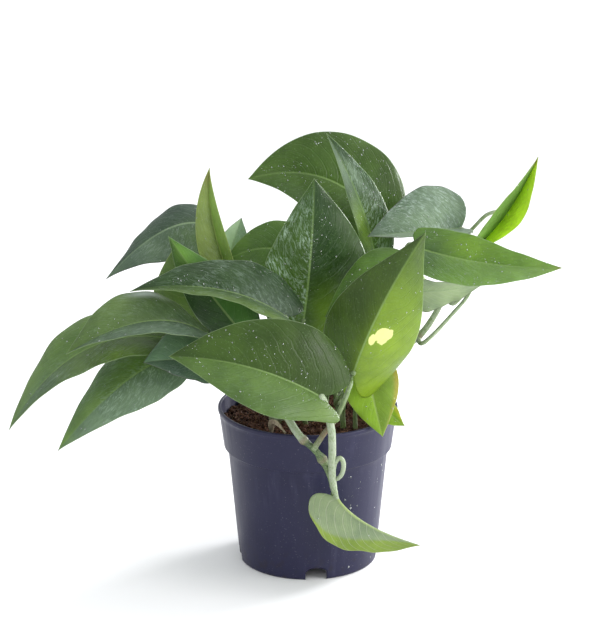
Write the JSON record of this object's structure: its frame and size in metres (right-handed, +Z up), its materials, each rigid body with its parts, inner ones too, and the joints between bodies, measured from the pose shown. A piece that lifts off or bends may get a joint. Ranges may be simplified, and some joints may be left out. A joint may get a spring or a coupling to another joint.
{
  "type": "potted pothos plant",
  "caption": "Potted trailing house plant with heart-shaped glossy leaves on long stalks, creeping stems, soil and a tapered nursery pot with a rim band.",
  "frame": {"origin": "centre of the pot's foot on the surface it stands on", "axes": "+Z up; +X to the right as seen from the front, where the vine hangs over the rim; +Y to the back"},
  "size_m": [0.3691, 0.228, 0.2951],
  "materials": {
    "pot_plastic": "satin dark slate-blue moulded plastic, wet on one side",
    "soil": "rough reddish-brown coir and peat",
    "stem": "smooth green, slightly waxy",
    "leaf_green": "glossy deep green blade, paler beneath",
    "leaf_lime": "glossy yellow-green young blade",
    "leaf_sage": "waxy grey-green blade"
  },
  "bodies": {
    "root": {"pot": "pot_plastic", "soil": "soil", "main_vine": "stem", "left_stem": "stem", "right_stem": "stem", "back_stem": "stem", "curled_shoot": "stem", "leaf_front_low": "leaf_green", "leaf_front_right": "leaf_green", "leaf_centre": "leaf_green", "leaf_centre_left": "leaf_green", "leaf_left_over": "leaf_green", "leaf_far_left": "leaf_green", "leaf_lower_left": "leaf_green", "leaf_left_inner": "leaf_sage", "leaf_inner_left": "leaf_green", "leaf_inner_left_back": "leaf_lime", "leaf_upright_narrow": "leaf_lime", "leaf_upper_left": "leaf_sage", "leaf_small_pale": "leaf_sage", "leaf_behind_centre": "leaf_green", "leaf_top_back": "leaf_green", "leaf_top_folded": "leaf_green", "leaf_right_grey": "leaf_sage", "leaf_right_upper": "leaf_lime", "leaf_right_wide": "leaf_green", "leaf_right_under": "leaf_sage", "leaf_behind_right": "leaf_green", "leaf_right_drop": "leaf_lime", "leaf_right_drop_small": "leaf_lime", "leaf_hanging": "leaf_lime", "leaf_back_right": "leaf_green", "leaf_back_left": "leaf_green", "stalk_front_low": "stem", "stalk_front_right": "stem", "stalk_centre": "stem", "stalk_centre_left": "stem", "stalk_left_over": "stem", "stalk_far_left": "stem", "stalk_lower_left": "stem", "stalk_left_inner": "stem", "stalk_inner_left": "stem", "stalk_inner_left_back": "stem", "stalk_upright_narrow": "stem", "stalk_upper_left": "stem", "stalk_small_pale": "stem", "stalk_behind_centre": "stem", "stalk_top_back": "stem", "stalk_top_folded": "stem", "stalk_right_grey": "stem", "stalk_right_upper": "stem", "stalk_right_wide": "stem", "stalk_right_under": "stem", "stalk_behind_right": "stem", "stalk_right_drop": "stem", "stalk_right_drop_small": "stem", "stalk_back_right": "stem", "stalk_back_left": "stem"}
  },
  "joints": []
}
